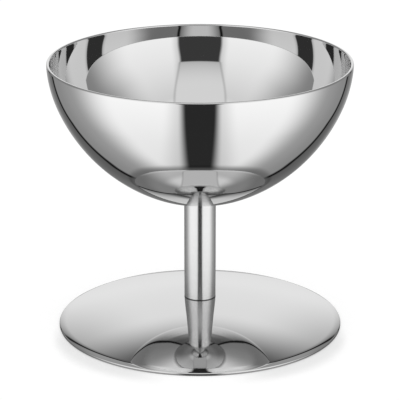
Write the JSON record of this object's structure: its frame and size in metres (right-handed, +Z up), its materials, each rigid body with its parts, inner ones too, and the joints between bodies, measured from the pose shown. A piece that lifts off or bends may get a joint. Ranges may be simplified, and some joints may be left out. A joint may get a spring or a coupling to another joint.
{
  "type": "footed dessert cup",
  "caption": "Footed dessert cup: a wide mirror-polished steel bowl on a slim tube stem, clamped to a shallow domed foot by a welded stud, washers and a thin nut.",
  "frame": {"origin": "centre of the plane that the foot rests on", "axes": "+Z up along the axis that every piece is turned about; the cup looks the same from every side"},
  "size_m": [0.095, 0.095, 0.0864],
  "materials": {
    "bowl_steel": "mirror-polished stainless steel sheet",
    "stem_steel": "mirror-polished stainless steel tube",
    "foot_steel": "mirror-polished stainless steel sheet",
    "fastener_steel": "bright turned stainless steel",
    "spring_steel": "rolled stainless spring steel"
  },
  "bodies": {
    "root": {"bowl": "bowl_steel", "stem_tube": "stem_steel", "foot": "foot_steel", "weld_stud": "fastener_steel", "centring_bush": "fastener_steel", "flat_washer": "fastener_steel", "spring_washer": "spring_steel", "hex_nut": "fastener_steel"}
  },
  "joints": []
}
